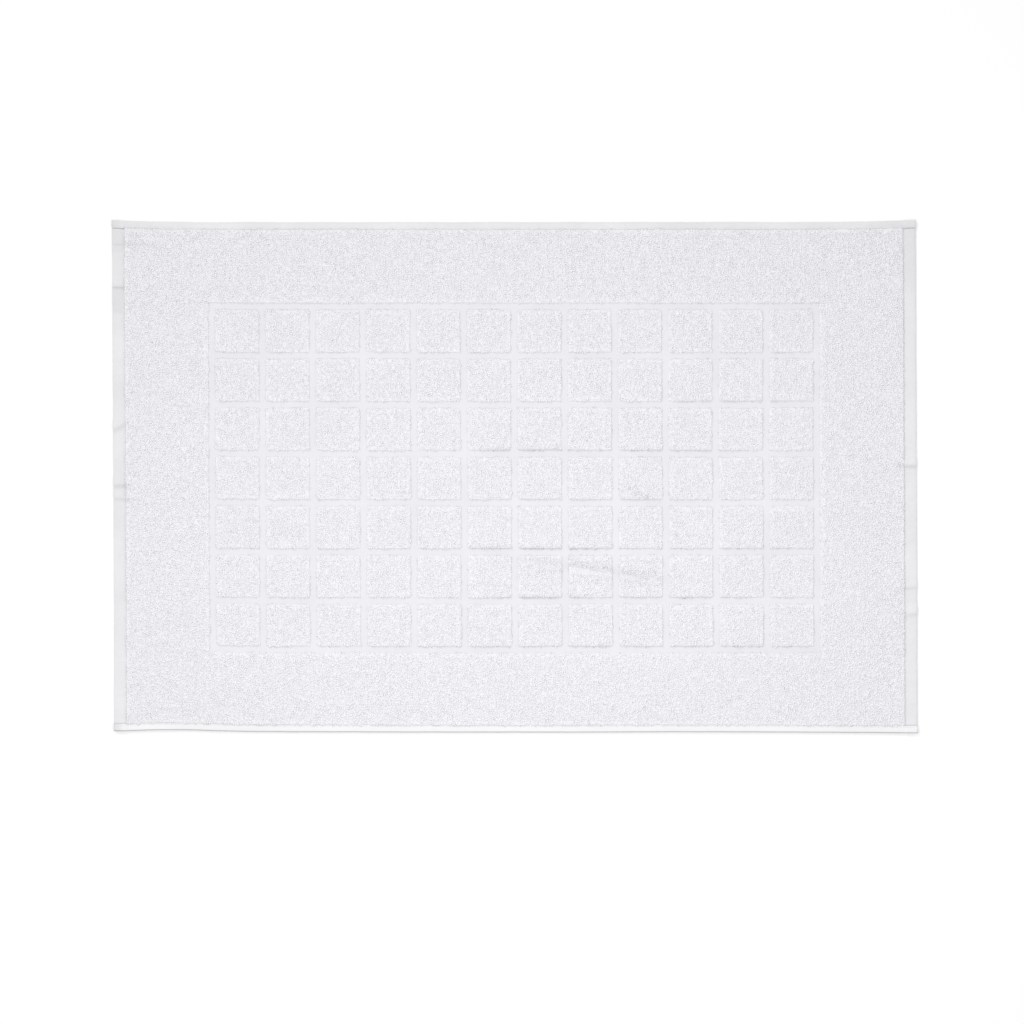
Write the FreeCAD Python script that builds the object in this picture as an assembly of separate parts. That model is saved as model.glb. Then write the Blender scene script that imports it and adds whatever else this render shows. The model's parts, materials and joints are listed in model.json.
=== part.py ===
import FreeCAD, Part

import os

# A woven terry bath mat lying flat, in millimetres. The origin is the middle of the underside,
# +X runs along the length, +Y across the width to the back edge, and +Z points up.

# Overall size, hems included
mat_length = 800.0
mat_width = 509.0

# Layers, from the floor up
reverse_pile_height = 2.2
cloth_thickness = 0.8
face_pile_height = 3.0

# Hems: the long edges have narrow ones, the two ends have wide ones woven without pile
side_hem_width = 8.0
end_hem_width = 13.0
fold_gap = 0.1
turn_in_clearance = 0.3

# Carved grid in the face pile: squares with flat woven channels round them
column_count = 12
row_count = 7
column_pitch = 50.0
row_pitch = 48.7
channel_width = 7.0
square_corner_radius = 3.0
pile_edge_radius = 1.2

# Sewing thread that holds the hems down
stitch_width = 0.5
stitch_height = 0.3
stitch_from_pile = 1.6
stitch_end_margin = 2.0

# Blank care label under the left hem
label_length = 32.0
label_width = 11.0
label_thickness = 0.2
label_middle_y = 178.0
label_side_margin = 1.0

# How close two coordinates are when they count as the same
same_place = 1e-6

# Levels and sizes worked out from the ones above
cloth_bottom = reverse_pile_height
cloth_top = cloth_bottom + cloth_thickness
hem_thickness = 3 * cloth_thickness + 2 * fold_gap
hem_bottom = cloth_top - hem_thickness
field_length = mat_length - 2 * end_hem_width
field_width = mat_width - 2 * side_hem_width
grid_length = column_count * column_pitch + channel_width
grid_width = row_count * row_pitch + channel_width


def block(x_min, x_max, y_min, y_max, z_min, z_max):
    """A box between two corners."""
    corner = FreeCAD.Vector(x_min, y_min, z_min)
    return Part.makeBox(x_max - x_min, y_max - y_min, z_max - z_min, corner)


def middle_block(length, width, z_min, z_max):
    """A box centred on the Z axis."""
    return block(-length / 2, length / 2, -width / 2, width / 2, z_min, z_max)


def is_upright(edge):
    """True for an edge that runs along Z."""
    ends = [vertex.Point for vertex in edge.Vertexes]
    return abs(ends[0].x - ends[1].x) < same_place and abs(ends[0].y - ends[1].y) < same_place


def is_at_level(edge, level):
    """True for an edge that lies flat at one height."""
    return all(abs(vertex.Z - level) < same_place for vertex in edge.Vertexes)


def pile_field(x_min, x_max, y_min, y_max):
    """A field of face pile on the ground cloth, with its top edges rounded."""
    top = cloth_top + face_pile_height
    field = block(x_min, x_max, y_min, y_max, cloth_top, top)
    top_edges = [edge for edge in field.Edges if is_at_level(edge, top)]
    return field.makeFillet(pile_edge_radius, top_edges)


def square_pad(x_middle, y_middle):
    """One square of face pile, with rounded corners and rounded top edges."""
    half_x = (column_pitch - channel_width) / 2
    half_y = (row_pitch - channel_width) / 2
    top = cloth_top + face_pile_height
    pad = block(x_middle - half_x, x_middle + half_x, y_middle - half_y, y_middle + half_y, cloth_top, top)
    pad = pad.makeFillet(square_corner_radius, [edge for edge in pad.Edges if is_upright(edge)])
    return pad.makeFillet(pile_edge_radius, [edge for edge in pad.Edges if is_at_level(edge, top)])


def square_row(row):
    """All the squares of one row, counted from the back edge."""
    y_middle = ((row_count - 1) / 2 - row) * row_pitch
    first_x = -(column_count - 1) / 2 * column_pitch
    return Part.makeCompound([square_pad(first_x + column * column_pitch, y_middle)
                              for column in range(column_count)])


def folded_hem(width, length):
    """Cloth folded twice under an edge: a top layer, a round outer fold, a bottom layer and
    a turn-in between them. The outer edge is on X = 0, the mat is on the +X side, and the hem
    runs along +Y."""
    outer_radius = hem_thickness / 2
    inner_radius = outer_radius - cloth_thickness
    turn_radius = cloth_thickness + fold_gap / 2
    turn_middle = width - turn_radius - turn_in_clearance
    raw_edge = outer_radius + turn_in_clearance
    top = cloth_top
    bottom = hem_bottom
    middle = (top + bottom) / 2

    def at(x, z):
        return FreeCAD.Vector(x, 0, z)

    def line(start, end):
        return Part.LineSegment(start, end).toShape()

    def arc(start, through, end):
        return Part.Arc(start, through, end).toShape()

    inner_top = at(width, top)
    outer_fold_top = at(outer_radius, top)
    outer_fold_bottom = at(outer_radius, bottom)
    turn_bottom = at(turn_middle, bottom)
    turn_top = at(turn_middle, bottom + 2 * turn_radius)
    raw_top = at(raw_edge, bottom + 2 * turn_radius)
    raw_bottom = at(raw_edge, bottom + cloth_thickness + fold_gap)
    slit_top = at(turn_middle, bottom + cloth_thickness + fold_gap)
    slit_bottom = at(turn_middle, bottom + cloth_thickness)
    inner_fold_bottom = at(outer_radius, bottom + cloth_thickness)
    inner_fold_top = at(outer_radius, top - cloth_thickness)
    inner_bottom = at(width, top - cloth_thickness)
    outline = Part.Wire([
        line(inner_top, outer_fold_top),
        arc(outer_fold_top, at(0, middle), outer_fold_bottom),
        line(outer_fold_bottom, turn_bottom),
        arc(turn_bottom, at(turn_middle + turn_radius, bottom + turn_radius), turn_top),
        line(turn_top, raw_top),
        line(raw_top, raw_bottom),
        line(raw_bottom, slit_top),
        line(slit_top, slit_bottom),
        line(slit_bottom, inner_fold_bottom),
        arc(inner_fold_bottom, at(outer_radius - inner_radius, middle), inner_fold_top),
        line(inner_fold_top, inner_bottom),
        line(inner_bottom, inner_top),
    ])
    return Part.Face(outline).extrude(FreeCAD.Vector(0, length, 0))


def placed_along(shape, side):
    """Turn something built at the left edge, about the middle of its length, to its own side."""
    turns = {"left": 0, "front": 90, "right": 180, "back": 270}
    half = {"left": mat_length / 2, "right": mat_length / 2, "front": mat_width / 2, "back": mat_width / 2}
    placed = shape.copy()
    placed.translate(FreeCAD.Vector(-half[side], 0, 0))
    placed.rotate(FreeCAD.Vector(0, 0, 0), FreeCAD.Vector(0, 0, 1), turns[side])
    return placed


def hem(side):
    """The hem of one side. The long hems run from end to end, over the ends of the short ones."""
    if side in ("front", "back"):
        width, length = side_hem_width, mat_length
    else:
        width, length = end_hem_width, field_width
    strip = folded_hem(width, length)
    strip.translate(FreeCAD.Vector(0, -length / 2, 0))
    return placed_along(strip, side)


def stitch_run(side):
    """Where a hem's stitch line starts and ends across and along its side."""
    if side in ("front", "back"):
        width, length = side_hem_width, mat_length - 2 * stitch_end_margin
    else:
        width, length = end_hem_width, field_width
    middle = width - stitch_from_pile
    return middle - stitch_width / 2, middle + stitch_width / 2, length / 2


def needle_thread(side):
    """The thread that shows on the face of a hem."""
    near, far, half_length = stitch_run(side)
    run = block(near, far, -half_length, half_length, cloth_top, cloth_top + stitch_height)
    return placed_along(run, side)


def bobbin_thread(side):
    """The thread under a hem. On the left it passes below the care label."""
    near, far, half_length = stitch_run(side)
    if side != "left":
        run = block(near, far, -half_length, half_length, hem_bottom - stitch_height, hem_bottom)
        return placed_along(run, side)
    low = label_middle_y - label_length / 2
    high = label_middle_y + label_length / 2
    label_bottom = hem_bottom - label_thickness
    before = block(near, far, -half_length, low, label_bottom - stitch_height / 2, hem_bottom)
    under = block(near, far, low, high, 0, label_bottom)
    after = block(near, far, high, half_length, label_bottom - stitch_height / 2, hem_bottom)
    run = before.fuse([under, after]).removeSplitter()
    return placed_along(run, side)


def care_label():
    """A blank woven label, caught under the left hem by its stitches."""
    tape = block(label_side_margin, label_side_margin + label_width,
                 label_middle_y - label_length / 2, label_middle_y + label_length / 2,
                 hem_bottom - label_thickness, hem_bottom)
    return placed_along(tape, "left")


def build():
    """Every piece of the mat by name."""
    half_field_x, half_field_y = field_length / 2, field_width / 2
    half_grid_x, half_grid_y = grid_length / 2, grid_width / 2
    clear = turn_in_clearance
    pieces = {
        "ground_cloth": middle_block(field_length, field_width, cloth_bottom, cloth_top),
        "reverse_pile": middle_block(field_length - 2 * clear, field_width - 2 * clear, 0, cloth_bottom),
        "border_pile_back": pile_field(-half_field_x, half_field_x, half_grid_y, half_field_y),
        "border_pile_front": pile_field(-half_field_x, half_field_x, -half_field_y, -half_grid_y),
        "border_pile_left": pile_field(-half_field_x, -half_grid_x, -half_grid_y, half_grid_y),
        "border_pile_right": pile_field(half_grid_x, half_field_x, -half_grid_y, half_grid_y),
        "care_label": care_label(),
    }
    for row in range(row_count):
        pieces[f"square_pile_row_{row + 1}"] = square_row(row)
    for side in ("back", "front", "left", "right"):
        pieces[f"hem_{side}"] = hem(side)
        pieces[f"needle_thread_{side}"] = needle_thread(side)
        pieces[f"bobbin_thread_{side}"] = bobbin_thread(side)
    return pieces


os.makedirs("parts", exist_ok=True)
for name, shape in build().items():
    shape.exportStep(os.path.join("parts", name + ".step"))
    size = shape.BoundBox
    print(f"{name}: {len(shape.Solids)} solids, {size.XLength:.1f} x {size.YLength:.1f} x {size.ZLength:.2f},"
          f" from z {size.ZMin:.2f}, volume {shape.Volume:.0f}, valid {shape.isValid()}")
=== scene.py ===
import json
import math

import bmesh
import bpy
import numpy as np
from mathutils import Matrix, Vector

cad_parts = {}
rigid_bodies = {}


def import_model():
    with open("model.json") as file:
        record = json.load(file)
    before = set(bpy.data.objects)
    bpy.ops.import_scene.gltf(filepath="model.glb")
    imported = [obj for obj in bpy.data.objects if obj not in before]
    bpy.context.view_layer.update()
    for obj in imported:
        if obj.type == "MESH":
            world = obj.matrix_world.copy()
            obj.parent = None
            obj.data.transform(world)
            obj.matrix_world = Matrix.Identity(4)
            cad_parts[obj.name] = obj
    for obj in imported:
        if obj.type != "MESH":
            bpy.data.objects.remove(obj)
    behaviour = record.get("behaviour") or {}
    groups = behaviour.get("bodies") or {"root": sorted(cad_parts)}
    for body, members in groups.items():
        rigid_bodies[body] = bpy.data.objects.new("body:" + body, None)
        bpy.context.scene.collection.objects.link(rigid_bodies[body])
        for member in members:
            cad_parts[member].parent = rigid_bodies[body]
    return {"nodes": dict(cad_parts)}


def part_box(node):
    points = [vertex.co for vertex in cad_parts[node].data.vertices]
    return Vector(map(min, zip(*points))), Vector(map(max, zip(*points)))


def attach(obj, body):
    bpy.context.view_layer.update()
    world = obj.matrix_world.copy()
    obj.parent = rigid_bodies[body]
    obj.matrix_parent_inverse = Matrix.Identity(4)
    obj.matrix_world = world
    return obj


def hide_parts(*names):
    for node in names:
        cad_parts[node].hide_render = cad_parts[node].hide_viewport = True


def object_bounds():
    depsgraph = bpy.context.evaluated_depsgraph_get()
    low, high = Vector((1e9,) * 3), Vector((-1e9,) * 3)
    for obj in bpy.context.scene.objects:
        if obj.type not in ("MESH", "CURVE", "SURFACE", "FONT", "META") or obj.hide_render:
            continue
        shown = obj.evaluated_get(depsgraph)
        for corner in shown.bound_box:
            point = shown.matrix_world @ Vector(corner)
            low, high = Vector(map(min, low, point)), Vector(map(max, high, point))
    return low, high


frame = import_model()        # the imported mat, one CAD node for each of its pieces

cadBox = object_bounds()
mm = 0.001
near = 0.01 * mm         # two places closer than this count as one
sides = ("back", "front", "left", "right")
bpy.ops.object.select_all(action="DESELECT")
print("frame loaded:", len(frame["nodes"]), "nodes")


# the studio
studio = {
    "floorSide": 60.0,
    "floorColor": (0.96, 0.96, 0.96, 1.0),
    "floorRoughness": 0.9,
    "floorGloss": 0.1,
    "skyColor": (1.0, 1.0, 1.0, 1.0),
    "skyStrength": 0.72,
    "viewGamma": 1.5,                   # a bright, airy look
    "lens": 110.0,
    "viewWidth": 1.018,                 # how much floor the camera takes in
    "viewMiddle": (-0.0025, -0.0345),   # the mat lies a little high in the view
    "viewReach": 100.0,
}
lamps = {
    "keyLamp": {"place": (-2.0, 3.1, 4.1), "aim": (0.0, -0.05, 0.0),
                "size": (1.9, 1.9), "power": 76.0},
    "nearLamp": {"place": (-0.01, -0.14, 0.8), "aim": (-0.01, -0.14, 0.0),
                 "size": (0.9, 0.3), "power": 2.85},
}


def makeStudio():
    bpy.ops.mesh.primitive_plane_add(size=studio["floorSide"], location=(0, 0, 0))
    floor = bpy.context.object
    floor.name = "floor"
    paint = bpy.data.materials.new("floorPaint")
    paint.use_nodes = True
    shader = paint.node_tree.nodes["Principled BSDF"]
    shader.inputs["Base Color"].default_value = studio["floorColor"]
    shader.inputs["Roughness"].default_value = studio["floorRoughness"]
    shader.inputs["Specular IOR Level"].default_value = studio["floorGloss"]
    floor.data.materials.append(paint)

    world = bpy.data.worlds.new("studioSky")
    bpy.context.scene.world = world
    world.use_nodes = True
    sky = world.node_tree.nodes["Background"]
    sky.inputs["Color"].default_value = studio["skyColor"]
    sky.inputs["Strength"].default_value = studio["skyStrength"]

    for name, lamp in lamps.items():
        bpy.ops.object.light_add(type="AREA", location=lamp["place"])
        light = bpy.context.object
        light.name = name
        light.data.shape = "RECTANGLE"
        light.data.size, light.data.size_y = lamp["size"]
        light.data.energy = lamp["power"]
        aim = Vector(lamp["aim"]) - Vector(lamp["place"])
        light.rotation_euler = aim.to_track_quat("-Z", "Y").to_euler()
        light.visible_camera = False

    bpy.ops.object.camera_add(rotation=(0, 0, 0))
    camera = bpy.context.object
    camera.name = "camera"
    camera.data.lens = studio["lens"]
    distance = studio["viewWidth"] * studio["lens"] / camera.data.sensor_width
    camera.location = (*studio["viewMiddle"], distance)
    camera.data.clip_end = studio["viewReach"]
    bpy.context.scene.camera = camera
    bpy.context.scene.view_settings.view_transform = "Standard"
    bpy.context.scene.view_settings.look = "None"
    bpy.context.scene.view_settings.gamma = studio["viewGamma"]
    print("studio ready, camera at", round(distance, 2), "m")


makeStudio()


# small helpers
def activate(piece):
    bpy.ops.object.select_all(action="DESELECT")
    piece.select_set(True)
    bpy.context.view_layer.objects.active = piece


def applyModifiers(piece):
    activate(piece)
    for name in [modifier.name for modifier in piece.modifiers]:
        bpy.ops.object.modifier_apply(modifier=name)


def readPoints(piece):
    points = np.empty(len(piece.data.vertices) * 3)
    piece.data.vertices.foreach_get("co", points)
    return points.reshape(-1, 3)


def writePoints(piece, points):
    piece.data.vertices.foreach_set("co", points.ravel())
    piece.data.update()


def join(pieces, name):
    activate(pieces[0])
    for piece in pieces:
        piece.select_set(True)
    bpy.ops.object.join()
    pieces[0].name = name
    pieces[0].data.name = name
    return pieces[0]


def copyOf(piece, name):
    twin = piece.copy()
    twin.data = piece.data.copy()
    twin.name = name
    bpy.context.scene.collection.objects.link(twin)
    return twin


def selectEdges(piece, test):
    bpy.ops.mesh.select_all(action="DESELECT")
    bpy.ops.mesh.select_mode(type="EDGE")
    mesh = bmesh.from_edit_mesh(piece.data)
    for edge in mesh.edges:
        edge.select = bool(test(edge))
    mesh.select_flush_mode()
    bmesh.update_edit_mesh(piece.data)


def faceOutwards():
    bpy.ops.mesh.select_all(action="SELECT")
    bpy.ops.mesh.normals_make_consistent(inside=False)


def makeGrid(name, low, high, level, cell):
    # a flat grid between two corners, all at one height
    sizeX, sizeY = high[0] - low[0], high[1] - low[1]
    bpy.ops.mesh.primitive_grid_add(
        x_subdivisions=max(2, round(sizeX / cell)), y_subdivisions=max(2, round(sizeY / cell)),
        size=1, location=((low[0] + high[0]) / 2, (low[1] + high[1]) / 2, level))
    grid = bpy.context.object
    grid.name = name
    grid.scale = (sizeX, sizeY, 1)
    bpy.ops.object.transform_apply(location=True, rotation=False, scale=True)
    return grid


def addThickness(piece, depth, offset):
    # offset is 0 to thicken both ways and -1 to thicken downwards
    wall = piece.modifiers.new("thickness", "SOLIDIFY")
    wall.thickness = depth
    wall.offset = offset


def makeYarnArch(name, yarnSides, radius, half, steps):
    # half a ring of yarn, standing on its two ends
    bpy.ops.mesh.primitive_circle_add(vertices=yarnSides, radius=radius, fill_type="NGON",
                                      location=(half, 0, 0))
    arch = bpy.context.object
    arch.name = name
    bpy.ops.object.transform_apply(location=True, rotation=False, scale=False)
    bpy.ops.object.mode_set(mode="EDIT")
    bpy.ops.mesh.select_all(action="SELECT")
    bpy.ops.mesh.spin(steps=steps, angle=math.pi, center=(0, 0, 0), axis=(0, 1, 0))
    selectEdges(arch, lambda edge: edge.is_boundary)
    if any(edge.select for edge in bmesh.from_edit_mesh(arch.data).edges):
        bpy.ops.mesh.edge_face_add()
    faceOutwards()
    bpy.ops.object.mode_set(mode="OBJECT")
    return arch


def markYarn(arch, radius, half):
    # marks how far along the yarn and how far round it each place lies
    points = readPoints(arch)
    turn = np.arctan2(points[:, 2], points[:, 0])
    turn = np.where(turn < -math.pi / 2, math.pi, np.clip(turn, 0, math.pi))
    radial = np.stack([np.cos(turn), 0 * turn, np.sin(turn)], axis=1)
    offset = points - radial * half
    yarn = np.stack([turn / math.pi, (offset * radial).sum(1) / radius, points[:, 1] / radius], axis=1)
    attribute = arch.data.attributes.new("yarn", "FLOAT_VECTOR", "POINT")
    attribute.data.foreach_set("vector", yarn.ravel())
    return points, turn, offset


def turned(x, y, angle):
    return x * np.cos(angle) - y * np.sin(angle), x * np.sin(angle) + y * np.cos(angle)


# how the whole cloth lies on the floor
clothLay = {
    "shear": 0.004,                     # the front edge sits a little to the right
    "cornerFlare": 2.4 * mm,            # back corners stand out past the edge between them
    "flarePower": 9,
    "frontDip": 2.2 * mm,               # front edge drawn in near its left end
    "dipMiddle": -0.86,                 # in half lengths of the mat
    "dipWidth": 0.16,
    "frontDrop": 1.0 * mm,              # and let out towards its right end
    "dropPower": 3,
    "edgeWave": 0.5 * mm,
    "swell": 0.5 * mm,                  # slow rise and fall of the cloth off the floor
    "frontLift": 1.3 * mm,              # the front edge stands a little off the floor
    "frontTuck": 1.3 * mm,              # and is drawn in, as the back and left edges are
    "backTuck": 1.4 * mm,
    "leftTuck": 0.8 * mm,
    "seamTuck": 0.8 * mm,               # the end hems are pushed against the pile, the left one half as far
    "seamFrom": 0.9660,
    "seamTo": 0.9674,
    "gridSag": 1.1 * mm,                # the grid lies a little nearer the front than the middle
    "gridWave": 0.45 * mm,
    "gridPower": 4,
    "liftFrom": 0.93,
    "creaseDepth": 0.8,                 # a wrinkle is a narrow crease at the foot of a long low swelling
    "swellBack": 3.5,                   # how wide the swelling is behind and before, in crease widths
    "swellFront": 2.0,
    "endWave": (0.31, 3),               # size and seed of each slow wave
    "sideWave": (0.42, 5),
    "columnWave": (0.13, 7),
    "rowWave": (0.15, 9),
    "swellWave": (0.16, 11),
    "wrinkles": (
        # middle of the crease, half length, half width, turn in degrees, height of the swelling, painted
        # shade in the crease
        ((0.080, -0.0925), 0.070, 0.0052, -8, 4.6 * mm, 0.15),
        ((0.125, -0.0190), 0.028, 0.0030, -25, 2.8 * mm, 0.10),
        ((0.012, 0.0276), 0.050, 0.0010, 0, 1.1 * mm, 0.58),
        ((0.150, 0.0276), 0.070, 0.0009, 0, 0.9 * mm, 0.42),
        ((0.225, 0.0763), 0.060, 0.0009, 0, 0.9 * mm, 0.34),
        ((0.060, -0.0211), 0.090, 0.0008, 0, 0.7 * mm, 0.30),
        ((0.030, -0.0698), 0.085, 0.0010, 0, 1.2 * mm, 0.60),
        ((0.215, -0.0698), 0.070, 0.0008, 0, 0.6 * mm, 0.28),
        ((0.025, -0.1185), 0.045, 0.0010, 0, 1.1 * mm, 0.55),
        ((0.160, -0.1185), 0.070, 0.0009, 0, 0.7 * mm, 0.38),
        ((0.120, -0.1672), 0.180, 0.0009, 0, 0.5 * mm, 0.36),
        ((-0.394, 0.0470), 0.012, 0.0022, 28, 2.6 * mm, 0.15),
        ((-0.394, -0.0100), 0.016, 0.0018, 3, 2.4 * mm, 0.20),
        ((-0.392, -0.0230), 0.014, 0.0014, -2, 1.4 * mm, 0.15),
        ((-0.376, 0.2295), 0.026, 0.0008, 0, 0.7 * mm, 0.20),
        ((0.394, 0.0100), 0.014, 0.0018, -4, 2.4 * mm, 0.25),
        ((0.396, -0.1370), 0.012, 0.0020, 10, 2.2 * mm, 0.15),
        ((0.394, -0.1100), 0.014, 0.0014, 4, 1.4 * mm, 0.15),
    ),
}


slowWave = {"count": 6, "shortest": 0.7, "longest": 1.5}     # lengths as shares of the size asked for


def slowWaves(x, y, size, seed):
    draw = np.random.default_rng(seed)
    total = np.zeros_like(x)
    for _ in range(slowWave["count"]):
        turn, phase = draw.uniform(0, 2 * math.pi, 2)
        step = size * draw.uniform(slowWave["shortest"], slowWave["longest"])
        total += np.sin((x * math.cos(turn) + y * math.sin(turn)) * 2 * math.pi / step + phase)
    return total / slowWave["count"]


def wrinklePlace(x, y, middle, halfLength, halfWidth, turn):
    # how far along and across a wrinkle a place lies, in its own half lengths and half widths
    angle = math.radians(turn)
    along = (x - middle[0]) * math.cos(angle) + (y - middle[1]) * math.sin(angle)
    across = (y - middle[1]) * math.cos(angle) - (x - middle[0]) * math.sin(angle)
    return along / halfLength, across / halfWidth


# painted shade: darker colour along each wrinkle's crease, where shade falls
def creaseGrey(points):
    total = np.zeros(len(points))
    for *lie, _, greyness in clothLay["wrinkles"]:
        along, across = wrinklePlace(points[:, 0], points[:, 1], *lie)
        total += greyness * np.exp(-along ** 4 - across ** 2)
    return total


def edgeShare(place):
    # 0 until the cloth begins to lift, and 1 at the edge
    return np.clip((place - clothLay["liftFrom"]) / (1 - clothLay["liftFrom"]), 0, 1)


def layDown(points):
    x, y = points[:, 0].copy(), points[:, 1].copy()
    u, v = x / cadBox[1][0], y / cadBox[1][1]
    backShare = np.clip((v + 1) / 2, 0, 1)
    points[:, 0] += clothLay["edgeWave"] * slowWaves(x, y, *clothLay["endWave"]) * np.abs(u)
    points[:, 0] -= clothLay["shear"] * y
    backEdge = clothLay["cornerFlare"] * np.abs(u) ** clothLay["flarePower"]
    fromDip = (u - clothLay["dipMiddle"]) / clothLay["dipWidth"]
    frontEdge = clothLay["frontDip"] * np.exp(-fromDip ** 2)
    frontEdge -= clothLay["frontDrop"] * np.clip(u, 0, 1) ** clothLay["dropPower"]
    points[:, 1] += backEdge * backShare ** 2 + frontEdge * (1 - backShare) ** 2
    points[:, 1] += clothLay["edgeWave"] * slowWaves(x, y, *clothLay["sideWave"]) * np.abs(v)
    power = clothLay["gridPower"]
    inner = (1 - np.clip(u, -1, 1) ** power) * (1 - np.clip(v, -1, 1) ** power)
    points[:, 0] += inner * clothLay["gridWave"] * slowWaves(x, y, *clothLay["columnWave"])
    rowShift = clothLay["gridWave"] * slowWaves(x, y, *clothLay["rowWave"]) - clothLay["gridSag"]
    points[:, 1] += inner * rowShift
    rise = clothLay["swell"] * (1 + slowWaves(x, y, *clothLay["swellWave"])) ** 2 / 2
    for *lie, height, _ in clothLay["wrinkles"]:
        along, across = wrinklePlace(x, y, *lie)
        fromCrest = across - 1
        spread = np.where(fromCrest > 0, clothLay["swellBack"], clothLay["swellFront"])
        profile = np.exp(-(fromCrest / spread) ** 2) - clothLay["creaseDepth"] * np.exp(-across ** 2)
        rise += height * np.exp(-along ** 2) * profile
    front, back, left = edgeShare(-v), edgeShare(v), edgeShare(-u)
    seamNear = (np.abs(u) - clothLay["seamFrom"]) / (clothLay["seamTo"] - clothLay["seamFrom"])
    seamTuck = clothLay["seamTuck"] * np.clip(seamNear, 0, 1) * np.clip(2 * u, -0.5, 1)
    points[:, 0] += clothLay["leftTuck"] * left - seamTuck
    points[:, 1] += clothLay["frontTuck"] * front - clothLay["backTuck"] * back
    points[:, 2] += rise + clothLay["frontLift"] * front ** 2
    return points


# materials
def startGroup(name, inputs, outputs):
    group = bpy.data.node_groups.new(name, "ShaderNodeTree")
    for label, kind, value in inputs:
        socket = group.interface.new_socket(label, in_out="INPUT", socket_type="NodeSocket" + kind)
        if value is not None:
            socket.default_value = value
    for label, kind in outputs:
        group.interface.new_socket(label, in_out="OUTPUT", socket_type="NodeSocket" + kind)
    return group, group.nodes.new("NodeGroupInput").outputs, group.nodes.new("NodeGroupOutput").inputs


def addNode(tree, kind, inputs=None, **settings):
    # an input is given a value, or the output that it is joined to
    node = tree.nodes.new(kind)
    for key, value in settings.items():
        setattr(node, key, value)
    for key, value in (inputs or {}).items():
        if isinstance(value, bpy.types.NodeSocket):
            tree.links.new(value, node.inputs[key])
        else:
            node.inputs[key].default_value = value
    return node


def addSum(tree, operation, *values):
    return addNode(tree, "ShaderNodeMath", dict(enumerate(values)), operation=operation).outputs[0]


def addRange(tree, value, low, high, **settings):
    # stretches what lies between low and high to 0 and 1
    stretch = addNode(tree, "ShaderNodeMapRange", {
        "Value": value, "From Min": low, "From Max": high}, **settings)
    return stretch.outputs["Result"]


def addMix(tree, amount, first, second):
    mix = addNode(tree, "ShaderNodeMix", {"Factor": amount, 6: first, 7: second}, data_type="RGBA")
    return mix.outputs[2]


def addBump(tree, height, depth, *under):
    # under is the normal of a bump that this one lies over
    bump = addNode(tree, "ShaderNodeBump", {"Strength": 1.0, "Height": height, "Distance": depth})
    for normal in under:
        tree.links.new(normal, bump.inputs["Normal"])
    return bump.outputs["Normal"]


def makeFibreGrain():
    # loose fibres: fine specks of light and shade, and a fine rough height
    group, given, out = startGroup(
        "fibreGrain",
        [("Place", "Vector", None), ("Scale", "Float", 900.0), ("Depth", "Float", 0.5)],
        [("Shade", "Float"), ("Height", "Float")])
    fine = addNode(group, "ShaderNodeTexNoise", {
        "Vector": given["Place"], "Scale": given["Scale"], "Detail": 3.0, "Roughness": 0.65})
    group.links.new(fine.outputs["Fac"], out["Shade"])
    group.links.new(addSum(group, "MULTIPLY", fine.outputs["Fac"], given["Depth"]), out["Height"])
    return group


def makeWashedTone():
    # cotton that has been washed: a pale colour that drifts a little from place to place
    group, given, out = startGroup(
        "washedTone",
        [("Place", "Vector", None), ("Light", "Color", (0.9, 0.9, 0.9, 1)),
         ("Dark", "Color", (0.8, 0.8, 0.8, 1)), ("Patch Scale", "Float", 14.0), ("Speck", "Float", 0.5)],
        [("Color", "Color")])
    patches = addNode(group, "ShaderNodeTexNoise", {
        "Vector": given["Place"], "Scale": given["Patch Scale"], "Detail": 4.0, "Roughness": 0.6})
    spread = addRange(group, patches.outputs["Fac"], 0.35, 0.65)
    both = addNode(group, "ShaderNodeMix", {"Factor": 0.55, "A": spread, "B": given["Speck"]},
                   data_type="FLOAT")
    color = addMix(group, both.outputs["Result"], given["Dark"], given["Light"])
    group.links.new(color, out["Color"])
    return group


def makePlainWeave():
    # warp and weft threads that pass over and under each other
    group, given, out = startGroup(
        "plainWeave",
        [("Place", "Vector", None), ("Threads per m", "Float", 1300.0)],
        [("Height", "Float")])
    scaled = addNode(group, "ShaderNodeVectorMath", {
        0: given["Place"], "Scale": given["Threads per m"]}, operation="SCALE")
    parts = addNode(group, "ShaderNodeSeparateXYZ", {0: scaled.outputs[0]})
    warp, weft = [addSum(group, "SINE", addSum(group, "MULTIPLY", parts.outputs[axis], math.pi))
                  for axis in ("X", "Y")]
    over = addSum(group, "MULTIPLY", warp, weft)
    group.links.new(addRange(group, over, -1.0, 1.0), out["Height"])
    return group


def makeYarnTwist():
    # the slanting ridges of a twisted yarn, from how far along and how far round it a place lies
    group, given, out = startGroup(
        "yarnTwist",
        [("Yarn", "Vector", None), ("Turns", "Float", 5.0), ("Plies", "Float", 2.0)],
        [("Height", "Float")])
    parts = addNode(group, "ShaderNodeSeparateXYZ", {0: given["Yarn"]})
    angle = addSum(group, "ARCTAN2", parts.outputs["Z"], parts.outputs["Y"])
    plied = addSum(group, "MULTIPLY", angle, given["Plies"])
    turns = addSum(group, "MULTIPLY", parts.outputs["X"], given["Turns"])
    ridge = addSum(group, "SINE", addSum(group, "MULTIPLY_ADD", turns, 2 * math.pi, plied))
    group.links.new(addRange(group, ridge, -1.0, 1.0), out["Height"])
    return group


def makeTuftRelief():
    # the crowded tops of low loops, each a rounded lump with a dark gap round it
    group, given, out = startGroup(
        "tuftRelief",
        [("Place", "Vector", None), ("Scale", "Float", 520.0)],
        [("Height", "Float")])
    cells = addNode(group, "ShaderNodeTexVoronoi", {
        "Vector": given["Place"], "Scale": given["Scale"], "Randomness": 0.9}, feature="F1")
    height = addRange(group, cells.outputs["Distance"], 0.75, 0.05, interpolation_type="SMOOTHSTEP")
    group.links.new(height, out["Height"])
    return group


fibreGrain = makeFibreGrain()
tuftRelief = makeTuftRelief()
washedTone = makeWashedTone()
plainWeave = makePlainWeave()
yarnTwist = makeYarnTwist()

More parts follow.
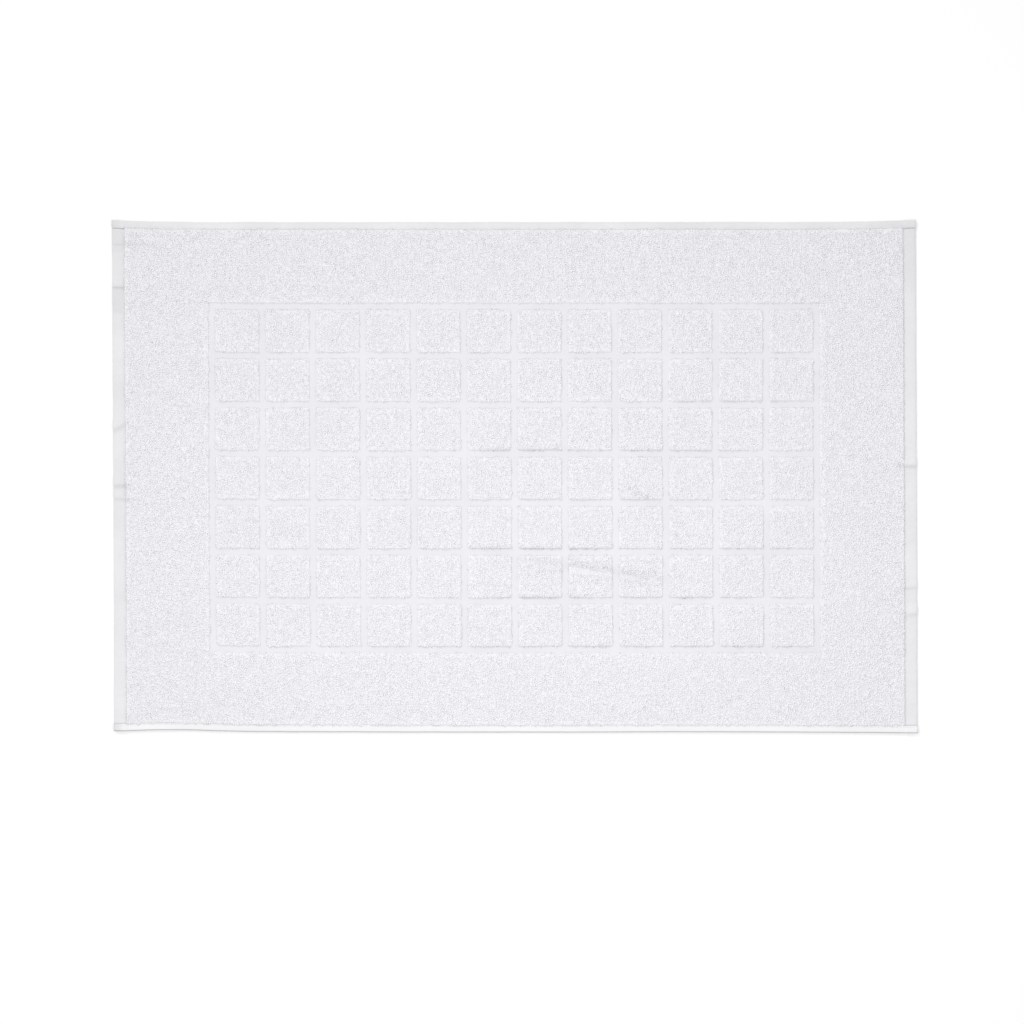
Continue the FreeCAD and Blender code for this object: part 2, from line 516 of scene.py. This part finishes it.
finishes = {
    # terryPile's bed colour is painted shade in the gaps between the loops, and the near-black colours here
    # are painted shade, mixed in by each piece's shade attribute
    "terryPile": {"light": (0.95, 0.941, 0.990, 1), "dark": (0.905, 0.896, 0.945, 1), "roughness": 0.95,
                  "bed": (0.755, 0.747, 0.792, 1), "paintedShadeColor": (0.20, 0.20, 0.21, 1),
                  "sheen": 0.8, "twist": 6.0, "twistDepth": 0.12 * mm, "grain": 1500.0,
                  "grainDepth": 0.07 * mm, "tuft": 620.0, "tuftDepth": 0.45 * mm},
    "groundWeave": {"light": (0.710, 0.702, 0.751, 1), "dark": (0.615, 0.608, 0.650, 1), "roughness": 0.9,
                    "sheen": 0.25, "threads": 1150.0, "weaveDepth": 0.14 * mm, "grain": 420.0,
                    "grainDepth": 0.05 * mm},
    "hemWeave": {"light": (0.725, 0.723, 0.747, 1), "dark": (0.570, 0.568, 0.590, 1),
                 "paintedShadeColor": (0.20, 0.20, 0.21, 1), "roughness": 0.9,
                 "sheen": 0.25, "threads": 1150.0, "weaveDepth": 0.14 * mm, "grain": 420.0,
                 "grainDepth": 0.05 * mm},
    # painted light: the front hem's weave is a lighter copy of the hem weave, for the bright band along the
    # front hem
    "frontHemWeavePaintedLight": {"light": (0.79, 0.784, 0.802, 1), "dark": (0.70, 0.695, 0.712, 1),
                      "paintedShadeColor": (0.20, 0.20, 0.21, 1), "roughness": 0.9,
                      "sheen": 0.25, "threads": 1150.0, "weaveDepth": 0.14 * mm, "grain": 1800.0,
                      "grainDepth": 0.05 * mm},
    "sewingThread": {"light": (0.93, 0.925, 0.945, 1), "dark": (0.86, 0.855, 0.88, 1), "roughness": 0.6,
                     "sheen": 0.15, "twist": 8.0, "twistDepth": 0.08 * mm, "grain": 3000.0,
                     "grainDepth": 0.02 * mm},
    "labelTape": {"light": (0.92, 0.915, 0.94, 1), "dark": (0.87, 0.865, 0.89, 1), "roughness": 0.45,
                  "sheen": 0.1, "threads": 3200.0, "weaveDepth": 0.05 * mm, "grain": 2500.0,
                  "grainDepth": 0.01 * mm},
}
cottonLook = {
    "gloss": 0.25,
    "sheenSpread": 0.5,
    "loopsFrom": 0.01,                  # the shade of a standing loop is above this, and the bed has none
}


def makeCotton(name):
    finish = finishes[name]
    material = bpy.data.materials.new(name)
    material.use_nodes = True
    tree = material.node_tree
    shader = tree.nodes["Principled BSDF"].inputs
    shader["Roughness"].default_value = finish["roughness"]
    shader["Specular IOR Level"].default_value = cottonLook["gloss"]
    shader["Sheen Weight"].default_value = finish["sheen"]
    shader["Sheen Roughness"].default_value = cottonLook["sheenSpread"]
    place = addNode(tree, "ShaderNodeTexCoord").outputs["Object"]

    def addEffect(group, **inputs):
        return addNode(tree, "ShaderNodeGroup", inputs, node_tree=group).outputs

    def addMark(attribute):
        return addNode(tree, "ShaderNodeAttribute", attribute_name=attribute).outputs

    grain = addEffect(fibreGrain, Scale=finish["grain"], Place=place)
    speck = addMark("loopShade")["Fac"] if "bed" in finish else grain["Shade"]
    tone = addEffect(washedTone, Light=finish["light"], Dark=finish["dark"], Place=place, Speck=speck)
    color = tone["Color"]
    # painted shade: where there is no loop, the bed gets the darker bed colour for the shade the loops cast
    # on it
    if "bed" in finish:
        isBed = addSum(tree, "LESS_THAN", speck, cottonLook["loopsFrom"])
        color = addMix(tree, isBed, color, finish["bed"])
    if "paintedShadeColor" in finish:
        # painted shade in the creases, at the hem corners and along the folded edge that meets the floor,
        # and a darker tone over the label
        color = addMix(tree, addMark("greyness")["Fac"], color, finish["paintedShadeColor"])
    tree.links.new(color, shader["Base Color"])

    normal = addBump(tree, grain["Height"], finish["grainDepth"])
    if "tuft" in finish:
        tufts = addEffect(tuftRelief, Scale=finish["tuft"], Place=place)
        onBed = addSum(tree, "MULTIPLY", tufts["Height"], isBed)
        normal = addBump(tree, onBed, finish["tuftDepth"], normal)
    if "twist" in finish:
        twist = addEffect(yarnTwist, Turns=finish["twist"], Yarn=addMark("yarn")["Vector"])
        normal = addBump(tree, twist["Height"], finish["twistDepth"], normal)
    else:
        weave = addEffect(plainWeave, Place=place, **{"Threads per m": finish["threads"]})
        normal = addBump(tree, weave["Height"], finish["weaveDepth"], normal)
    tree.links.new(normal, shader["Normal"])
    return material


cottons = {name: makeCotton(name) for name in finishes}
print("materials ready:", ", ".join(cottons))


def finishPiece(piece, cotton, node):
    points = readPoints(piece)
    # painted shade along the wrinkles' creases is added to the shade the piece already carries
    if "paintedShadeColor" in finishes[cotton]:
        marks = piece.data.attributes
        greyness = marks.get("greyness") or marks.new("greyness", "FLOAT", "POINT")
        values = np.zeros(len(points))
        greyness.data.foreach_get("value", values)
        greyness.data.foreach_set("value", np.clip(values + creaseGrey(points), 0, 1))
    writePoints(piece, layDown(points))
    piece.data.materials.clear()
    piece.data.materials.append(cottons[cotton])
    activate(piece)
    bpy.ops.object.shade_smooth()
    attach(piece, "root")
    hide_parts(node)
    print(piece.name, "finished,", len(piece.data.polygons), "faces")
    return piece


# one loop of pile, in a few shapes
pileLoop = {
    "yarnRadius": 0.70 * mm,
    "halfWidth": 1.0 * mm,
    "rise": 1.55 * mm,
    "footDrop": 0.9 * mm,
    "footWidth": 0.8,                   # as a share of the round loop's width
    "belly": 0.35,                      # how much wider it is higher up
    "neck": 0.35,                       # and how far it draws in again at the top
    "yarnSides": 3,
    "steps": 4,
    "curls": (0.15, 0.55, 0.95, -0.35, -0.8),   # how far each shape is twisted round, in radians
    "swayed": (0.0, 0.35, -0.3, 0.2, -0.15),    # how far its top hangs over, as a share of its height
}


def makePileLoop(number, curl, sway):
    radius, half = pileLoop["yarnRadius"], pileLoop["halfWidth"]
    loop = makeYarnArch("pileLoop" + str(number), pileLoop["yarnSides"], radius, half, pileLoop["steps"])
    points, turn, _ = markYarn(loop, radius, half)
    share = np.sin(turn)                                  # 0 at the feet, 1 at the top
    points[:, 2] *= pileLoop["rise"] / (half + radius)
    points[:, 2] -= pileLoop["footDrop"] * (1 - share)
    points[:, 0] *= pileLoop["footWidth"] + pileLoop["belly"] * share * (1 - pileLoop["neck"] * share)
    points[:, 1] += sway * pileLoop["rise"] * share ** 2
    points[:, 0], points[:, 1] = turned(points[:, 0].copy(), points[:, 1].copy(), curl * (share - 1 / 2))
    writePoints(loop, points)
    loop.data.materials.append(cottons["terryPile"])
    activate(loop)
    bpy.ops.object.shade_smooth()
    return loop


loopShapes = bpy.data.collections.new("loopShapes")
bpy.context.scene.collection.children.link(loopShapes)
for number, (curl, sway) in enumerate(zip(pileLoop["curls"], pileLoop["swayed"])):
    shape = makePileLoop(number, curl, sway)
    for holder in list(shape.users_collection):
        holder.objects.unlink(shape)
    loopShapes.objects.link(shape)
    shape.hide_render = True


# loops set thick over a bed
loopSetting = {
    "spacing": 1.78 * mm,
    "mostPerArea": 1500000.0,
    "leanRandom": 0.50,                 # radians
    "leanDrift": 1.1,                   # how much neighbours lean the same way
    "driftScale": 75.0,
    "smallest": 0.82,
    "largest": 1.18,
    "steepest": 0.15,                   # the least upward normal that loops still stand on
    "darkest": 0.15,                    # shade of the darkest loop, where 1 is the lightest
    "spinSeed": 7,
    "sizeSeed": 3,
    "shapeSeed": 5,
    "shadeSeed": 9,
}


def makeLoopTree():
    tree = bpy.data.node_groups.new("setLoops", "GeometryNodeTree")
    tree.interface.new_socket("Geometry", in_out="INPUT", socket_type="NodeSocketGeometry")
    tree.interface.new_socket("Spacing", in_out="INPUT", socket_type="NodeSocketFloat")
    tree.interface.new_socket("Seed", in_out="INPUT", socket_type="NodeSocketInt")
    tree.interface.new_socket("Geometry", in_out="OUTPUT", socket_type="NodeSocketGeometry")
    given = addNode(tree, "NodeGroupInput").outputs
    out = addNode(tree, "NodeGroupOutput").inputs

    normal = addNode(tree, "GeometryNodeInputNormal").outputs[0]
    upward = addNode(tree, "ShaderNodeSeparateXYZ", {0: normal}).outputs["Z"]
    spread = addNode(tree, "GeometryNodeDistributePointsOnFaces", distribute_method="POISSON")
    for label, value in (("Mesh", given["Geometry"]), ("Distance Min", given["Spacing"]),
                         ("Selection", addSum(tree, "GREATER_THAN", upward, loopSetting["steepest"])),
                         ("Seed", given["Seed"])):
        tree.links.new(value, spread.inputs[label])
    spread.inputs["Density Max"].default_value = loopSetting["mostPerArea"]

    place = addNode(tree, "GeometryNodeInputPosition").outputs[0]
    drift = addNode(tree, "ShaderNodeTexNoise", {
        "Vector": place, "Scale": loopSetting["driftScale"], "Detail": 2.0})
    centred = addNode(tree, "ShaderNodeVectorMath", {
        0: drift.outputs["Color"], 1: (0.5, 0.5, 0.5)}, operation="SUBTRACT")
    most = loopSetting["leanDrift"]
    drifted = addNode(tree, "ShaderNodeVectorMath", {
        0: centred.outputs[0], 1: (most, most, 0)}, operation="MULTIPLY")
    lean = loopSetting["leanRandom"]
    chance = addNode(tree, "FunctionNodeRandomValue", {
        0: (-lean, -lean, 0), 1: (lean, lean, 0)}, data_type="FLOAT_VECTOR")
    leaning = addNode(tree, "ShaderNodeVectorMath", {
        0: drifted.outputs[0], 1: chance.outputs[0]}, operation="ADD")
    spin = addNode(tree, "FunctionNodeRandomValue", {
        0: (0, 0, 0), 1: (0, 0, 2 * math.pi), "Seed": loopSetting["spinSeed"]}, data_type="FLOAT_VECTOR")
    tilted = addNode(tree, "FunctionNodeRotateRotation", {1: leaning.outputs[0]}, rotation_space="GLOBAL")
    spun = addNode(tree, "FunctionNodeRotateRotation", {
        0: tilted.outputs[0], 1: spin.outputs[0]}, rotation_space="LOCAL")

    size = addNode(tree, "FunctionNodeRandomValue", {
        2: loopSetting["smallest"], 3: loopSetting["largest"], "Seed": loopSetting["sizeSeed"]},
        data_type="FLOAT")
    which = addNode(tree, "FunctionNodeRandomValue", {
        4: 0, 5: len(pileLoop["curls"]) - 1, "Seed": loopSetting["shapeSeed"]}, data_type="INT")
    shapes = addNode(tree, "GeometryNodeCollectionInfo", {
        "Collection": loopShapes, "Separate Children": True, "Reset Children": True})
    plant = addNode(tree, "GeometryNodeInstanceOnPoints", {
        "Points": spread.outputs["Points"], "Instance": shapes.outputs[0], "Pick Instance": True,
        "Instance Index": which.outputs[2], "Rotation": spun.outputs[0], "Scale": size.outputs[1]})
    shade = addNode(tree, "FunctionNodeRandomValue", {
        2: loopSetting["darkest"], "Seed": loopSetting["shadeSeed"]}, data_type="FLOAT")
    store = addNode(tree, "GeometryNodeStoreNamedAttribute", {
        "Geometry": plant.outputs[0], "Name": "loopShade", "Value": shade.outputs[1]},
        data_type="FLOAT", domain="INSTANCE")
    real = addNode(tree, "GeometryNodeRealizeInstances", {0: store.outputs[0]})
    both = addNode(tree, "GeometryNodeJoinGeometry", {0: real.outputs[0]})
    tree.links.new(given["Geometry"], both.inputs[0])
    tree.links.new(both.outputs[0], out[0])
    return tree


loopTree = makeLoopTree()


def setLoops(bed, seed):
    modifier = bed.modifiers.new("loops", "NODES")
    modifier.node_group = loopTree
    names = {item.name: item.identifier for item in loopTree.interface.items_tree if item.in_out == "INPUT"}
    modifier[names["Spacing"]] = loopSetting["spacing"]
    modifier[names["Seed"]] = seed
    applyModifiers(bed)


# beds that the loops stand in
pileBed = {
    "height": 1.5 * mm,                 # over the ground cloth
    "cell": 4.4 * mm,
    "shoulder": 1.0 * mm,               # how far in from a free edge the bed is rounded
    "cornerRadius": 1.4 * mm,
    "roundSteps": 3,
    "smoothUpTo": 60,                   # degrees between faces
    "steep": 0.5,                       # a wall's normal rises less than this
    "unevenness": 0.25 * mm,
    "unevenWave": (0.012, 17),          # size and seed
    "outline": 0.6 * mm,
    "outlineWaves": ((0.011, 18), (0.011, 19)),
}


def makeBed(name, low, high, isFree, cornerRadius=0.0):
    # isFree says of a place on the rim whether it has no pile next to it
    bottom = low[2]
    top = bottom + pileBed["height"]
    bed = makeGrid(name, low, high, top, pileBed["cell"])
    bpy.ops.object.mode_set(mode="EDIT")
    selectEdges(bed, lambda edge: edge.is_boundary)
    bpy.ops.mesh.extrude_region_move(TRANSFORM_OT_translate={"value": (0, 0, bottom - top)})
    selectEdges(bed, lambda edge: edge.is_boundary)
    bpy.ops.mesh.edge_face_add()

    def isUpright(edge):
        return abs(edge.verts[0].co.z - edge.verts[1].co.z) > near

    def isTopRim(edge):
        walls = [face for face in edge.link_faces if abs(face.normal.z) < pileBed["steep"]]
        return not isUpright(edge) and len(walls) == 1 and edge.verts[0].co.z > (top + bottom) / 2

    if cornerRadius:
        corners = [(x, y) for x in (low[0], high[0]) for y in (low[1], high[1])]
        selectEdges(bed, lambda edge: isUpright(edge) and any(
            math.dist(edge.verts[0].co[:2], corner) < near for corner in corners))
        bpy.ops.mesh.bevel(offset=cornerRadius, segments=pileBed["roundSteps"], affect="EDGES")
    selectEdges(bed, lambda edge: isTopRim(edge) and isFree((edge.verts[0].co + edge.verts[1].co) / 2))
    bpy.ops.mesh.bevel(offset=pileBed["shoulder"], segments=pileBed["roundSteps"], affect="EDGES")
    faceOutwards()
    bpy.ops.object.mode_set(mode="OBJECT")
    bpy.ops.object.shade_smooth_by_angle(angle=math.radians(pileBed["smoothUpTo"]))
    return bed


def fillWithLoops(bed, bottom, seed, node):
    points = readPoints(bed)
    share = np.clip((points[:, 2] - bottom) / pileBed["height"], 0, 1)
    x, y = points[:, 0].copy(), points[:, 1].copy()
    points[:, 2] += pileBed["unevenness"] * share * slowWaves(x, y, *pileBed["unevenWave"])
    for axis, wave in enumerate(pileBed["outlineWaves"]):
        points[:, axis] += pileBed["outline"] * slowWaves(x, y, *wave)
    writePoints(bed, points)
    bed.data.materials.append(cottons["terryPile"])
    setLoops(bed, seed)
    return finishPiece(bed, "terryPile", node)


# squares of looped pile
squareGrid = {"columns": 12, "firstSeed": 20}
rowNames = sorted(name for name in frame["nodes"] if name.startswith("square_pile_row_"))


def makeSquareRows():
    columns = squareGrid["columns"]
    low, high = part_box(rowNames[0])
    channel = low.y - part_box(rowNames[1])[1].y
    width = (high.x - low.x - (columns - 1) * channel) / columns
    pattern = makeBed("squarePattern", (0, 0, low.z), (width, high.y - low.y, high.z),
                      lambda place: True, pileBed["cornerRadius"])
    rows = []
    for number, node in enumerate(rowNames):
        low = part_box(node)[0]
        squares = []
        for column in range(columns):
            square = copyOf(pattern, "square")
            square.data.transform(Matrix.Translation((low.x + column * (width + channel), low.y, 0)))
            squares.append(square)
        row = join(squares, "squares_row_" + str(number + 1))
        rows.append(fillWithLoops(row, low.z, squareGrid["firstSeed"] + number, node))
    bpy.data.objects.remove(pattern)
    return rows


# looped border round the grid
border = {"firstSeed": 40}


def makeBorder():
    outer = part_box("ground_cloth")[1]
    inner = Vector((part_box("border_pile_right")[0].x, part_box("border_pile_back")[0].y, 0))

    def isFree(place):
        x, y = abs(place.x), abs(place.y)
        onOuter = abs(x - outer.x) < near or abs(y - outer.y) < near
        onInner = (abs(x - inner.x) < near and y < inner.y) or (abs(y - inner.y) < near and x < inner.x)
        return onOuter or onInner

    fields = []
    for side in sides:
        node = "border_pile_" + side
        low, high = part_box(node)
        if side in ("back", "front"):
            halves = (("_left", low.x, 0.0), ("_right", 0.0, high.x))
        else:
            halves = (("", low.x, high.x),)
        for ending, startX, endX in halves:
            bed = makeBed("border_" + side + ending, (startX, low.y, low.z), (endX, high.y, high.z), isFree)
            fields.append(fillWithLoops(bed, low.z, border["firstSeed"] + len(fields), node))
    return fields


# looped underside
underside = {
    "cell": 3.6 * mm,
    "clear": 0.5 * mm,                  # from the ground cloth, where it is creased
    "loopPitch": 6.0 * mm,
    "loopDepth": 0.9 * mm,
    "bend": 1.9,                        # how far the rows of loops wander, in radians
    "roundness": 0.6,
    "heightRange": 0.25,
    "rowWave": (0.017, 61),             # size and seed
    "columnWave": (0.015, 62),
    "heightWave": (0.009, 63),
}


def makeUnderside():
    low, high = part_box("reverse_pile")
    pile = makeGrid("reverse_loops", low, high, high.z, underside["cell"])
    addThickness(pile, high.z - low.z, -1)
    applyModifiers(pile)
    points = readPoints(pile)
    x, y = points[:, 0], points[:, 1]
    turn, bend = math.pi / underside["loopPitch"], underside["bend"]
    across = np.sin(x * turn + bend * slowWaves(x, y, *underside["rowWave"]))
    along = np.sin(y * turn + bend * slowWaves(x, y, *underside["columnWave"]))
    level = 1 - underside["heightRange"] * (1 - slowWaves(x, y, *underside["heightWave"]))
    lump = np.abs(across * along) ** underside["roundness"] * level
    below = points[:, 2] < (low.z + high.z) / 2
    points[:, 2] -= ~below * underside["clear"]
    points[:, 2] += below * underside["loopDepth"] * (1 - lump)
    writePoints(pile, points)
    return finishPiece(pile, "terryPile", "reverse_pile")


# folded hems
hemFold = {
    "clothThickness": 0.8 * mm,
    "foldGap": 0.1 * mm,
    "noseGap": 0.3 * mm,
    "cell": 1.7 * mm,
    "seamSteps": (0.5, 0.25, 0.25, 0.25, 0.25),    # faces either side of the seam, in stitch margins
    "topSteps": 4,
    "foldSteps": 6,
    "underSteps": 4,
    "turnSteps": 4,
    "turnInSteps": 3,
    "stitchFromPile": 1.6 * mm,
    "stitchGroove": 0.28 * mm,
    "crown": 0.40 * mm,
    "crownFrom": 0.1,                   # where it starts, in thicknesses of the hem
    "crownPower": 0.7,
    "ripple": 0.45 * mm,
    "rib": 6.0 * mm,                    # ribs run along X in every hem
    "ribLength": 0.15,
    "ribSeed": 1,
    "sway": 0.225 * mm,                 # how far the hem's edge wanders
    "swaySize": 50 * mm,
    "swaySeed": 2,
    "cornerBulk": 1.5 * mm,             # how much thicker a long hem is where it folds over a short one
    "labelRelief": 1.1 * mm,
    "labelSlope": 0.6 * mm,
    "labelCrease": 1.0 * mm,
    "creaseBelow": 7.0 * mm,            # under the label's upper end
    "creaseWidth": 1.3 * mm,
    "grooveWidth": 0.55 * mm,
    "climb": 3.0 * mm,
    # width of the painted shade along the folded front edge, how dark the tone over the label is, and the
    # painted shade in the label's crease and at the corners
    "edgeWidth": 1.3 * mm,
    "labelGrey": 0.11,
    "creaseGrey": 0.35,
    "cornerShade": 0.16,
    "cornerLength": 9.0 * mm,
    "leftCorner": (3, 0.5),             # length and painted shade of a short hem's corner, in those of a long one
    "frontCorner": 2,
}
turns = {"left": 0, "front": 90, "right": 180, "back": 270}


def sideMatrix(side):
    # takes what is made at X = 0, with the mat on its +X side, to its own side of the mat
    half = cadBox[1][0] if side in ("left", "right") else cadBox[1][1]
    return Matrix.Rotation(math.radians(turns[side]), 4, "Z") @ Matrix.Translation((-half, 0, 0))


def hemSize(side):
    low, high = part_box("hem_" + side)
    if side in ("left", "right"):
        return high.x - low.x, high.y - low.y, low.z, high.z
    return high.y - low.y, high.x - low.x, low.z, high.z


def overEnd(side, y, length):
    # how far a place on a long hem has climbed over the short hem under it
    if side in ("left", "right"):
        return 0 * y
    climb = hemFold["climb"]
    share = np.clip((np.abs(y) - length / 2 + hemSize("left")[0] + climb / 3) / climb, 0, 1)
    return share * share * (3 - 2 * share)


def labelMark(y):
    # how the label shows through the left hem: 1 over it, and 1 in the crease at its upper end
    low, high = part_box("care_label")
    crease = high.y - hemFold["creaseBelow"]
    inside = np.minimum(y - low.y, crease - y) / hemFold["labelSlope"]
    flat = 30                                             # past this the slope has levelled out
    over = 1 / (1 + np.exp(-np.clip(inside, -flat, flat)))
    return over, np.exp(-((y - crease) / hemFold["creaseWidth"]) ** 2)


def hemRelief(side, x, y):
    width, _, bottom, top = hemSize(side)
    stitchX = width - hemFold["stitchFromPile"]
    groove = np.exp(-((x - stitchX) / hemFold["grooveWidth"]) ** 2)
    rise = np.clip((x - hemFold["crownFrom"] * (top - bottom)) / stitchX, 0, 1)
    relief = hemFold["crown"] * np.sin(rise * math.pi) ** hemFold["crownPower"]
    relief -= hemFold["stitchGroove"] * groove
    acrossRibs, alongRibs = (y, x) if side in ("left", "right") else (x, y)
    relief += hemFold["ripple"] * slowWaves(hemFold["ribLength"] * alongRibs, acrossRibs,
                                            hemFold["rib"], turns[side] + hemFold["ribSeed"])
    if side == "left":
        over, crease = labelMark(y)
        relief += hemFold["labelRelief"] * over - hemFold["labelCrease"] * crease
    return relief


def hemGrey(side, x, y):
    # how much painted shade each place of a hem gets: at its corners, along the folded front edge that meets
    # the floor and in the crease at the label's upper end, with a darker tone over the label
    length = hemSize(side)[1]
    longest, most = hemFold["cornerLength"], hemFold["cornerShade"]
    if side == "left":
        over, crease = labelMark(y)
        reach, part = hemFold["leftCorner"]
        corner = np.clip((y - length / 2) / longest + reach, 0, 1) * most * part
        return hemFold["labelGrey"] * over + hemFold["creaseGrey"] * crease + corner
    if side == "back":
        return np.sqrt(np.clip(1 - (length / 2 + y) / longest, 0, 1)) * most
    if side == "front":
        corner = np.sqrt(np.clip(1 - (length / 2 - y) / longest, 0, 1)) * most
        outer = np.sqrt(np.clip(1 - x / hemFold["edgeWidth"], 0, 1))
        return np.clip(outer + hemFold["frontCorner"] * corner, 0, 1)
    return 0 * x


def makeHem(side):
    width, length, bottom, top = hemSize(side)
    thickness, gap, nose = hemFold["clothThickness"], hemFold["foldGap"], hemFold["noseGap"]
    foldRadius = (top - bottom) / 2
    turnRadius = thickness + gap / 2
    turnMiddle = width - turnRadius - nose
    bpy.ops.mesh.primitive_grid_add(
        x_subdivisions=1, y_subdivisions=round(length / hemFold["cell"]),
        size=1, location=(width, 0, top - thickness / 2), rotation=(0, math.pi / 2, 0))
    hem = bpy.context.object
    hem.name = "folded_hem_" + side
    hem.scale = (thickness, length, 1)
    bpy.ops.object.transform_apply(location=True, rotation=True, scale=True)
    bpy.ops.object.mode_set(mode="EDIT")
    bpy.ops.mesh.select_all(action="SELECT")

    def pull(distance, steps):
        for _ in range(steps):
            bpy.ops.mesh.extrude_region_move(TRANSFORM_OT_translate={"value": (distance / steps, 0, 0)})

    def fold(steps, middleX, middleZ):
        bpy.ops.mesh.spin(steps=steps, angle=math.pi, center=(middleX, 0, middleZ), axis=(0, 1, 0))

    margins = [share * hemFold["stitchFromPile"] for share in hemFold["seamSteps"]]
    for margin in margins:
        pull(-margin, 1)
    pull(foldRadius + sum(margins) - width, hemFold["topSteps"])
    fold(hemFold["foldSteps"], foldRadius, top - foldRadius)
    pull(turnMiddle - foldRadius, hemFold["underSteps"])
    fold(hemFold["turnSteps"], turnMiddle, bottom + turnRadius)
    pull(foldRadius + nose - turnMiddle, hemFold["turnInSteps"])
    bpy.ops.mesh.select_all(action="SELECT")
    bpy.ops.mesh.remove_doubles(threshold=near / 10)
    faceOutwards()
    bpy.ops.object.mode_set(mode="OBJECT")

    points = readPoints(hem)
    x, y, z = points[:, 0].copy(), points[:, 1].copy(), points[:, 2].copy()
    # painted shade at the corners, along the folded front edge and in the label's crease, with a darker tone
    # over the label
    greyness = hem.data.attributes.new("greyness", "FLOAT", "POINT")
    greyness.data.foreach_set("value", hemGrey(side, x, y))
    onTop = np.clip((z - (top - thickness)) / thickness, 0, 1)
    points[:, 2] += onTop * hemRelief(side, x, y)
    points[:, 0] += hemFold["sway"] * slowWaves(x, y, hemFold["swaySize"], turns[side] + hemFold["swaySeed"])
    points[:, 2] += overEnd(side, y, length) * hemFold["cornerBulk"] * (z - bottom) / (top - bottom)
    writePoints(hem, points)
    hem.data.transform(sideMatrix(side))
    return finishPiece(hem, "frontHemWeavePaintedLight" if side == "front" else "hemWeave", "hem_" + side)


# lockstitch seams
seam = {
    "pitch": 3.2 * mm,
    "length": 2.7 * mm,
    "threadRadius": 0.19 * mm,
    "threadSides": 4,
    "steps": 4,
    "rise": 0.32 * mm,
    "sink": 0.30 * mm,
    "slant": 0.07,
    "unevenTurn": 0.05,
    "unevenPlace": 0.12 * mm,
    "unevenShares": (1, 0.6, 0.3),      # of that, across the seam, along it and up
    "flatness": 0.6,                    # below 1 the top of a stitch is flatter than half a circle
    "endMargin": 2.0 * mm,
    "bobbinInset": 0.1 * mm,
    "needleSeed": 500,
    "bobbinSeed": 900,
}


def makeStitches(side, face):
    # face is 1 for the needle thread on top and -1 for the bobbin thread underneath
    kind = "needle" if face > 0 else "bobbin"
    width, length, bottom, top = hemSize(side)
    half, radius = seam["length"] / 2, seam["threadRadius"]
    line = makeYarnArch(kind + "_stitches_" + side, seam["threadSides"], radius, half, seam["steps"])
    _, turn, offset = markYarn(line, radius, half)
    arch = (seam["rise"] + seam["sink"]) * np.sin(turn) ** seam["flatness"] - seam["sink"]
    points = np.stack([half * np.cos(turn), 0 * turn, arch], axis=1) + offset
    points[:, 2] *= face
    points = points[:, [1, 0, 2]]                         # the seam runs along Y
    writePoints(line, points)
    bpy.ops.object.mode_set(mode="EDIT")
    faceOutwards()
    bpy.ops.object.mode_set(mode="OBJECT")

    count = int((length - 2 * seam["endMargin"]) / seam["pitch"])
    repeat = line.modifiers.new("repeat", "ARRAY")
    repeat.count = count
    repeat.use_relative_offset = False
    repeat.use_constant_offset = True
    repeat.constant_offset_displace = (0, seam["pitch"], 0)
    applyModifiers(line)
    points = readPoints(line).reshape(count, -1, 3)
    draw = np.random.default_rng(turns[side] + seam[kind + "Seed"])
    middles = points.mean(axis=1, keepdims=True)
    angle = seam["slant"] + draw.normal(0, seam["unevenTurn"], (count, 1))
    local = points - middles
    x, y = local[:, :, 0].copy(), local[:, :, 1].copy()
    local[:, :, 0], local[:, :, 1] = turned(x, y, angle)
    shift = draw.normal(0, seam["unevenPlace"], (count, 1, 3)) * seam["unevenShares"]
    points = (local + middles + shift).reshape(-1, 3)
    points[:, 0] += width - hemFold["stitchFromPile"]
    points[:, 1] -= (count - 1) * seam["pitch"] / 2
    if face > 0:
        y = points[:, 1]
        stitchX = np.full_like(y, width - hemFold["stitchFromPile"])
        points[:, 2] += top + hemRelief(side, stitchX, y) + overEnd(side, y, length) * hemFold["cornerBulk"]
    else:
        points[:, 2] += bottom + seam["bobbinInset"]
    writePoints(line, points)
    line.data.transform(sideMatrix(side))
    return finishPiece(line, "sewingThread", kind + "_thread_" + side)


# blank care label
labelTape = {
    "cell": 0.8 * mm,
    "curl": 0.06 * mm,
    "curlWave": (0.02, 71),             # size and seed
    "edge": 0.06 * mm,
    "edgeSteps": 2,
}


def makeLabel():
    low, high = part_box("care_label")
    label = makeGrid("blank_label", low, high, (low.z + high.z) / 2, labelTape["cell"])
    points = readPoints(label)
    points[:, 2] += labelTape["curl"] * slowWaves(points[:, 0], points[:, 1], *labelTape["curlWave"])
    writePoints(label, points)
    addThickness(label, high.z - low.z, 0)
    edge = label.modifiers.new("edge", "BEVEL")
    edge.width = labelTape["edge"]
    edge.segments = labelTape["edgeSteps"]
    edge.limit_method = "ANGLE"
    applyModifiers(label)
    return finishPiece(label, "labelTape", "care_label")


pieces = makeSquareRows() + makeBorder() + [makeUnderside()]
pieces += [makeHem(side) for side in sides]
pieces += [makeStitches(side, face) for side in sides for face in (1, -1)]
pieces.append(makeLabel())

for shape in list(loopShapes.objects):
    bpy.data.objects.remove(shape)
bpy.data.collections.remove(loopShapes)


# woven ground cloth, and a count of the triangles in every piece
groundCloth = {
    "cell": 4.0 * mm,
    "turnInEnds": 23 * mm,              # how much cloth is folded under at each edge
    "turnInSides": 13 * mm,
}


def makeGroundCloth():
    low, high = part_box("ground_cloth")
    cloth = makeGrid("woven_ground", low, high, (low.z + high.z) / 2, groundCloth["cell"])
    addThickness(cloth, high.z - low.z, 0)
    applyModifiers(cloth)
    finishPiece(cloth, "groundWeave", "ground_cloth")
    return cloth


wovenGround = makeGroundCloth()
everything = pieces + [wovenGround]
triangles = sum(len(face.vertices) - 2 for piece in everything for face in piece.data.polygons)
print("pieces:", len(everything), "triangles:", triangles)
